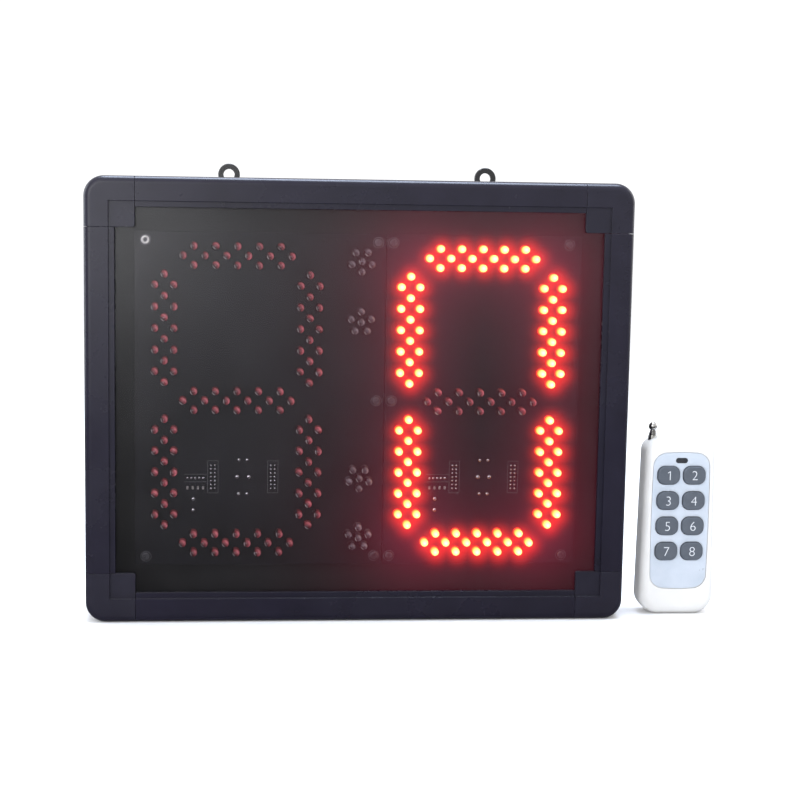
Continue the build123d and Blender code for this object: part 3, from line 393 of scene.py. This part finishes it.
SLOT_LOOKS = {
    "frame_powder_coat": powder, "corner_plastic": corner, "smoked_acrylic": acrylic,
    "display_board": board_mask, "header_plastic": black_mould, "chip_plastic": epoxy,
    "capacitor_sleeve": cap_sleeve, "zinc_steel": zinc, "black_screw": black_oxide,
    "back_sheet": back_coat, "hanger_steel": hanger_paint, "green_board": green_mask,
    "copper_wire": copper, "buzzer_plastic": black_mould, "jack_plastic": jack_black,
    "lead_insulation": vinyl_red, "ribbon_vinyl": ribbon, "remote_shell": shell_white,
    "remote_plate": plate_silver, "remote_button_rubber": keycap, "window_lens": lens_dark,
    "battery_wrap": wrap, "spring_metal": nickel, "antenna_chrome": chrome,
    "led_lit": led_lit, "led_dark": led_dark, "led_clear": led_clear,
}
for sub in frame["record"]["subparts"]:
    obj = frame["nodes"][sub["node"]]
    look = SLOT_LOOKS[sub["material_slot"]]
    if not obj.material_slots:
        obj.data.materials.append(look)
    for place in obj.material_slots:
        place.material = look
for place in frame["nodes"]["board_screws"].material_slots:
    place.material = dull_steel


# ------------------------------------------------------------------ pieces
def new_piece(name, verts, faces, material, body="display", smooth=False):
    me = bpy.data.meshes.new(name)
    me.from_pydata([tuple(v) for v in verts], [], faces)
    me.validate()
    me.materials.append(material)
    if smooth:
        me.shade_smooth()
    ob = bpy.data.objects.new(name, me)
    bpy.context.collection.objects.link(ob)
    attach(ob, body)
    return ob


def led_centres(node):
    """Where each LED of a node stands, read from the tips of its domes."""
    me = frame["nodes"][node].data
    co = np.empty(len(me.vertices) * 3, np.float32)
    me.vertices.foreach_get("co", co)
    co = co.reshape(-1, 3)
    tip, base = float(co[:, 1].min()), float(co[:, 1].max())
    tops = co[co[:, 1] < tip + 2e-5]
    return sorted({(round(float(x), 4), round(float(z), 4)) for x, _, z in tops}), tip, base


LED_R = 0.00249
NOMINAL_R = 0.0025
FLANGE_R = 0.00290
FLANGE_TOP = 0.00125
FLANGE_FLAT = 0.00252  # from the axis to the flat on the flange
DOME_FOOT = 0.36  # where the dome starts in the colours
DOME_RINGS = 8
LED_SIDES = 20
# radius, height above the board and place in the colours, up to the foot of the dome
LED_PROFILE = (
    (FLANGE_R, 0.0, 0.0), (FLANGE_R, 0.0009, 0.02), (0.00282, 0.00105, 0.06),
    (0.00256, 0.00112, 0.12), (LED_R, 0.0013, 0.2), (LED_R, 0.0061, DOME_FOOT),
)


def led_shape(height):
    """One LED about its own axis: its points, the place of each in the colours, and its faces."""
    rings = list(LED_PROFILE)
    for k in range(1, DOME_RINGS + 1):
        a = math.pi / 2 * k / DOME_RINGS
        r = LED_R * math.cos(a)
        place = DOME_FOOT + (1 - DOME_FOOT) * (1 - r / LED_R)
        rings.append((max(r, 0.0), height - LED_R + LED_R * math.sin(a), place))
    points, core, faces = [], [], []
    for r, h, c in rings[:-1]:
        for j in range(LED_SIDES):
            a = 2 * math.pi * (j + 0.5) / LED_SIDES
            x, z = r * math.cos(a), r * math.sin(a)
            if h < FLANGE_TOP:
                x = min(x, FLANGE_FLAT)
            points.append((x, -h, z))
            core.append(c)
    points.append((0.0, -rings[-1][1], 0.0))
    core.append(1.0)
    top = (len(rings) - 1) * LED_SIDES
    for low in range(0, top - LED_SIDES, LED_SIDES):
        for j in range(LED_SIDES):
            a, b = low + j, low + (j + 1) % LED_SIDES
            faces.append((a, b, b + LED_SIDES, a + LED_SIDES))
    for j in range(LED_SIDES):
        faces.append((top - LED_SIDES + j, top - LED_SIDES + (j + 1) % LED_SIDES, top))
    faces.append(tuple(reversed(range(LED_SIDES))))
    return points, core, faces


def led_pieces(name, node, material):
    """5 mm LEDs, each leaning a little its own way, tips towards the panel; the side where each unlit LED's
    glint is painted is turned a little its own way too.
    """
    spots, tip, base = led_centres(node)
    points, core, quads = led_shape(base - tip)
    verts, faces, cores, owns, toward_glint_values = [], [], [], [], []
    rng = np.random.default_rng(7)
    for x, z in spots:
        k = len(verts)
        lean = rng.normal(0, 0.012, 2)
        own = float(rng.random())
        # which side of the LED its painted glint and painted shade fall on
        glint_turn = rng.normal(0.55, 0.25)
        glint_x, glint_z = math.cos(glint_turn), math.sin(glint_turn)
        toward_glint_values += [float(vx * glint_x + vz * glint_z) / NOMINAL_R for vx, _, vz in points]
        verts += [(x + vx - lean[0] * vy, base + vy, z + vz - lean[1] * vy) for vx, vy, vz in points]
        cores += core
        owns += [own] * len(points)
        faces += [tuple(i + k for i in f) for f in quads]
    ob = new_piece(name, verts, faces, material, smooth=True)
    for key, values in (("core", cores), ("own", owns), ("toward_glint", toward_glint_values)):
        layer = ob.data.attributes.new(key, "FLOAT", "POINT")
        layer.data.foreach_set("value", values)
    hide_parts(node)


led_pieces("tens_digit_lenses", "tens_digit_leds", led_dark)
led_pieces("units_digit_lenses", "units_digit_leds", led_lit)
led_pieces("units_middle_lenses", "units_middle_segment_leds", led_dark)
led_pieces("colon_lenses", "colon_leds", led_clear)


def block_verts(cx, y0, y1, cz, w, h):
    """Corners of a box from depth y0 to y1, w wide and h high about (cx, cz)."""
    return [
        (cx + sx * w / 2, y, cz + sz * h / 2)
        for y in (y0, y1) for sx, sz in ((-1, -1), (1, -1), (1, 1), (-1, 1))
    ]


BLOCK_FACES = ((0, 1, 2, 3), (7, 6, 5, 4), (0, 4, 5, 1), (1, 5, 6, 2), (2, 6, 7, 3), (3, 7, 4, 0))


def blocks(name, items, material, round_off=0.0):
    verts, faces = [], []
    for item in items:
        k = len(verts)
        verts += block_verts(*item)
        faces += [tuple(i + k for i in f) for f in BLOCK_FACES]
    ob = new_piece(name, verts, faces, material)
    if round_off:
        m = ob.modifiers.new("soft_edges", "BEVEL")
        m.width = round_off
        m.segments = 2


MOUND_SIDES = 12
MOUND_RINGS = 4
MOUND_RISE = 0.55  # a mound's height over its radius


def blobs(name, spots, y, material):
    """Solder joints: low round mounds."""
    verts, faces = [], []
    for x, z, r in spots:
        k = len(verts)
        for i in range(MOUND_RINGS):
            a = math.pi / 2 * i / MOUND_RINGS
            ring_r, ring_y = r * math.cos(a), y - MOUND_RISE * r * math.sin(a)
            for j in range(MOUND_SIDES):
                b = 2 * math.pi * j / MOUND_SIDES
                verts.append((x + ring_r * math.cos(b), ring_y, z + ring_r * math.sin(b)))
        verts.append((x, y - MOUND_RISE * r, z))
        top = k + MOUND_RINGS * MOUND_SIDES
        for low in range(k, top, MOUND_SIDES):
            for j in range(MOUND_SIDES):
                p, q = low + j, low + (j + 1) % MOUND_SIDES
                last = low + MOUND_SIDES == top
                faces.append((p, q, top) if last else (p, q, q + MOUND_SIDES, p + MOUND_SIDES))
    new_piece(name, verts, faces, material, smooth=True)


# Details on the display boards' faces
face_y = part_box("led_board_left")[0].y
LOGIC_DX, LOGIC_Z = 0.0043, -0.0504  # from a digit's middle to the middle of its driver's pins
HEADER_DX = 0.0195  # from there to each header
PIN_PITCH = 0.00254
HEADER_PINS = 7
LEAD_ROW_DX = -0.0360
LEAD_HOLES = 5
LINE_W = 0.00022
LEAD_LINE_W = 0.0002
PRINT_T = 0.00004
RESISTOR_PITCH = 0.0034
# height, half spacing and pad radius of each pair of capacitor pads
CAP_PADS = ((0.0112, 0.0027, 0.0011), (0.0, 0.0038, 0.0014), (-0.0112, 0.0027, 0.0011))


def printed(x, z, w, h):
    return (x, face_y - PRINT_T, face_y, z, w, h)


solder_spots, print_marks, chips = [], [], []
for mid in (tens_mid, units_mid):
    cx, cz = mid.x + LOGIC_DX, mid.z + LOGIC_Z
    for row, half, r in CAP_PADS:
        for dx in (-half, half):
            solder_spots.append((cx + dx, cz + row, r))
    for header_x in (cx - HEADER_DX, cx + HEADER_DX):
        for i in range(HEADER_PINS):
            for dx in (-PIN_PITCH / 2, PIN_PITCH / 2):
                solder_spots.append((header_x + dx, cz + PIN_PITCH * (i - HEADER_PINS // 2), 0.00062))
        for dx in (-0.0034, 0.0034):
            print_marks.append(printed(header_x + dx, cz, LINE_W, 0.0212))
        for dz in (-0.0106, 0.0106):
            print_marks.append(printed(header_x, cz + dz, 0.0070, LINE_W))
    for i in range(LEAD_HOLES):
        solder_spots.append((cx + LEAD_ROW_DX + PIN_PITCH * i, cz - 0.0008, 0.0008))
    for dz in (0.0017, -0.0033):
        print_marks.append(printed(cx - 0.0309, cz + dz, 0.0148, LEAD_LINE_W))
    for dz in (-0.0146, -0.0220):
        solder_spots.append((cx - 0.0323, cz + dz, 0.0013))
    for i in range(4):
        x = cx + LEAD_ROW_DX + RESISTOR_PITCH * i
        chips.append((x, face_y - 0.0005, face_y, cz - 0.0072, 0.0013, 0.0022))
blobs("board_solder_joints", solder_spots, face_y, solder)
blocks("board_print_lines", print_marks, print_white)
blocks("board_resistors", chips, smd, 0.0002)

RING_SIDES = 24
FIX_DZ = 0.103
SEAM_FIX_X = (0.0115, 0.0215)
EDGE_FIX_X = (-0.138, 0.137)


def bands(x, z, circles):
    """Flat or sloped bands between circles about (x, z), each given by its radius and depth."""
    verts, faces = [], []
    for k, (r, y) in enumerate(circles):
        for j in range(RING_SIDES):
            a = 2 * math.pi * j / RING_SIDES
            verts.append((x + r * math.cos(a), y, z + r * math.sin(a)))
    for low in range(0, RING_SIDES * (len(circles) - 1), RING_SIDES):
        for j in range(RING_SIDES):
            n = (j + 1) % RING_SIDES
            faces.append((low + j, low + RING_SIDES + j, low + RING_SIDES + n, low + n))
    return verts, faces


# Bare rings round the fixing holes
ring_spots = [(x, units_mid.z + dz) for x in SEAM_FIX_X for dz in (-FIX_DZ, 0.0, FIX_DZ)]
ring_spots += [(x, units_mid.z + dz) for x in EDGE_FIX_X for dz in (-FIX_DZ, FIX_DZ)]
ring_verts, ring_faces = [], []
for x, z in ring_spots:
    k = len(ring_verts)
    verts, faces = bands(x, z, [(r, face_y - 0.00005) for r in (0.0031, 0.0037)])
    ring_verts += verts
    ring_faces += [tuple(i + k for i in f) for f in faces]
new_piece("board_fixing_rings", ring_verts, ring_faces, dull_steel)

# One screw catches the light on its rounded head
HEAD_CIRCLES = ((0.0013, 0.0), (0.0017, 0.00006), (0.0023, 0.00006), (0.0027, 0.0))  # radius, lift
head_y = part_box("board_screws")[0].y - 0.00002
head_verts, head_faces = bands(
    EDGE_FIX_X[0], units_mid.z + FIX_DZ, [(r, head_y - lift) for r, lift in HEAD_CIRCLES])
new_piece("bright_screw_ring", head_verts, head_faces, zinc, smooth=True)

# Numerals on the remote's buttons
NUMERAL_SIZE = 0.0092
NUMERAL_T = 0.00004
NUMERAL_THINNER = -0.00018
# corners of the flag of the 1, from the top left corner of its bar
FLAG = ((0.0001, -0.0001), (-0.0013, -0.00085), (-0.0013, -0.0014), (0.0001, -0.0007))


def numeral_mesh(i):
    """One numeral as a thin flat mesh, facing up."""
    text = bpy.data.curves.new(f"numeral_{i}", "FONT")
    text.body = str(i)
    text.size = NUMERAL_SIZE
    text.extrude = NUMERAL_T
    text.offset = NUMERAL_THINNER
    text.align_x = "CENTER"
    text.align_y = "CENTER"
    made = bpy.data.objects.new(f"numeral_{i}_curve", text)
    bpy.context.collection.objects.link(made)
    bpy.context.view_layer.update()
    me = bpy.data.meshes.new_from_object(made.evaluated_get(bpy.context.evaluated_depsgraph_get()))
    bpy.data.objects.remove(made)
    return me


def add_flag(me):
    """Give the plain bar of the 1 its flag."""
    left = min(v.co.x for v in me.vertices)
    top = max(v.co.y for v in me.vertices)
    flag = bmesh.new()
    flag.from_mesh(me)
    sheet = [flag.verts.new((left + dx, top + dy, z)) for z in (-NUMERAL_T, NUMERAL_T) for dx, dy in FLAG]
    for f in BLOCK_FACES:
        flag.faces.new([sheet[n] for n in f])
    flag.to_mesh(me)
    flag.free()


def stand_on(me, lo, hi):
    """Turn a flat numeral to face -Y and centre it on a button's face."""
    co = np.empty(len(me.vertices) * 3, np.float32)
    me.vertices.foreach_get("co", co)
    co = co.reshape(-1, 3)
    centre = (co.min(0) + co.max(0)) / 2
    mid = (lo + hi) / 2
    placed = [
        (mid.x + float(x - centre[0]), lo.y - 0.00003 - float(z), mid.z + float(y - centre[1]))
        for x, y, z in co
    ]
    me.vertices.foreach_set("co", np.array(placed, np.float32).ravel())


for i in range(1, 9):
    lo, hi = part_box(f"remote_button_{i}")
    me = numeral_mesh(i)
    if i == 1:
        add_flag(me)
    stand_on(me, lo, hi)
    me.materials.clear()
    me.materials.append(numeral)
    ob = bpy.data.objects.new(f"button_numeral_{i}", me)
    bpy.context.collection.objects.link(ob)
    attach(ob, f"remote_button_{i}")

# ------------------------------------------------------------ floor, light
FLOOR_HALF = 60
floor_me = bpy.data.meshes.new("floor")
floor_me.from_pydata(
    [(sx * FLOOR_HALF, sy * FLOOR_HALF, 0) for sx, sy in ((-1, -1), (1, -1), (1, 1), (-1, 1))],
    [], [(0, 1, 2, 3)])
floor = bpy.data.objects.new("floor", floor_me)
bpy.context.collection.objects.link(floor)
fs = Shader("pale_floor")
floor_drift = fs.span(fs.noise(3.0), 0.3, 0.7, 0.0, 1.0)
fp = fs.add("ShaderNodeBsdfPrincipled", {
    "Base Color": fs.mix(floor_drift, rgba((0.90, 0.90, 0.91)), rgba((0.92, 0.92, 0.93))),
    "Roughness": fs.span(fs.noise(40.0), 0.3, 0.7, 0.5, 0.6)})
floor_me.materials.append(fs.close(fp.outputs[0]))
floor.visible_glossy = False  # the sheet's gloss shows the sky instead

world = bpy.data.worlds.new("studio")
bpy.context.scene.world = world
world.use_nodes = True
sky = world.node_tree
sky.nodes["Background"].inputs[0].default_value = (0.98, 0.985, 1.0, 1)
side = sky.nodes.new("ShaderNodeSeparateXYZ")
sky.links.new(sky.nodes.new("ShaderNodeTexCoord").outputs["Generated"], side.inputs[0])
# the sky gives full light in every direction above HIGH, and fades to DIM at LOW, below the horizon
LOW, HIGH, DIM, FULL = -0.10, -0.006, 0.20, 1.14
dusk = sky.nodes.new("ShaderNodeMapRange")
for k, v in enumerate((LOW, HIGH, DIM, FULL), start=1):
    dusk.inputs[k].default_value = v
sky.links.new(side.outputs["Z"], dusk.inputs[0])
sky.links.new(dusk.outputs[0], sky.nodes["Background"].inputs[1])


def softbox(name, at, aim, size, power, colour):
    data = bpy.data.lights.new(name, "AREA")
    data.shape = "RECTANGLE"
    data.size, data.size_y = size
    data.energy = power
    data.color = colour
    ob = bpy.data.objects.new(name, data)
    bpy.context.collection.objects.link(ob)
    ob.location = at
    ob.rotation_euler = (Vector(aim) - Vector(at)).to_track_quat("-Z", "Y").to_euler()


softbox("top_light", (0.08, 0.10, 1.35), (0.05, 0.04, 0.27), (1.0, 0.5), 30, (0.70, 0.80, 1.0))
softbox("left_light", (-1.25, 0.35, 0.5), (-0.1, 0, 0.15), (0.5, 1.0), 6, (0.82, 0.90, 1.0))
softbox("right_light", (1.25, 0.35, 0.6), (0.1, 0, 0.15), (0.5, 1.0), 3, (1.0, 0.96, 0.97))
softbox("front_fill", (-0.7, -1.3, 1.3), (0.05, 0, 0.1), (0.9, 0.9), 4, (1.0, 0.99, 0.97))
softbox("low_fill", (-0.80, -1.6, 0.50), (-0.1, 0, 0.2), (1.3, 0.8), 13.0, (0.96, 0.98, 1.0))
